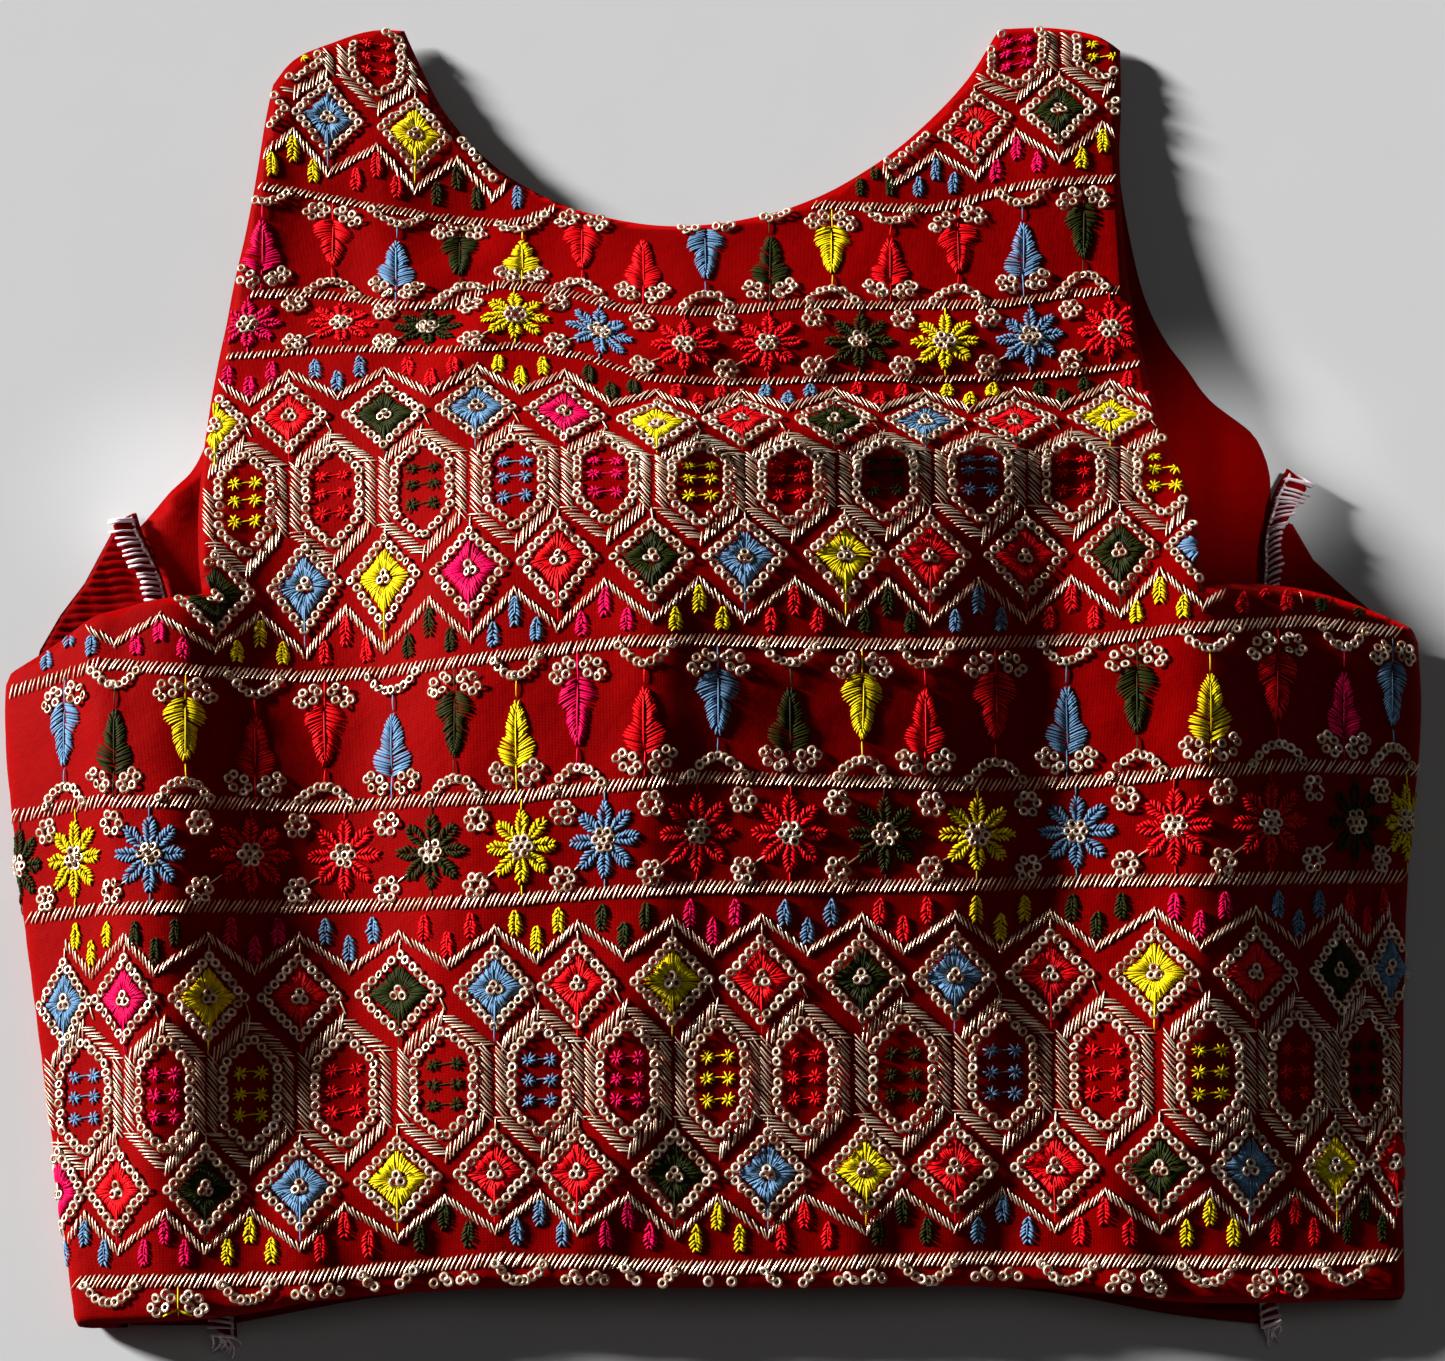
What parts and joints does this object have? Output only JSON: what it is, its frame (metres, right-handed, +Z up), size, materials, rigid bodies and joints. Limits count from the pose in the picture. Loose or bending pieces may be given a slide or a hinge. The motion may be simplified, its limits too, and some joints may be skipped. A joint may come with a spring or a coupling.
{
  "type": "sleeveless blouse",
  "caption": "Cropped sleeveless blouse laid flat, embroidered front puffed over a plain back, with shirred elastic panels at the sides and overlocked side seams.",
  "frame": {"origin": "on the surface it lies on, under the middle of the laid-out blouse", "axes": "+Z up from the surface through the front, +Y from the hem to the shoulders, +X to the right of a viewer facing the front"},
  "size_m": [0.4254, 0.4166, 0.0533],
  "materials": {
    "front_cloth": "soft satin cotton silk",
    "back_cloth": "soft satin lining cloth",
    "shirred_cloth": "gathered on elastic",
    "allowance_cloth": "raw edge under overlock",
    "overlock_thread": "matt spun thread",
    "metallic_thread": "fine metal-wrapped thread",
    "sequin": "pale gold ring sequins",
    "yellow_thread": "silky embroidery thread",
    "blue_thread": "silky embroidery thread",
    "green_thread": "silky embroidery thread",
    "red_thread": "silky embroidery thread",
    "pink_thread": "silky embroidery thread"
  },
  "bodies": {
    "root": {"front_panel": "front_cloth", "back_panel": "back_cloth", "side_panel_left": "shirred_cloth", "side_panel_right": "shirred_cloth", "seam_allowance_left": "allowance_cloth", "seam_allowance_right": "allowance_cloth"}
  },
  "joints": []
}
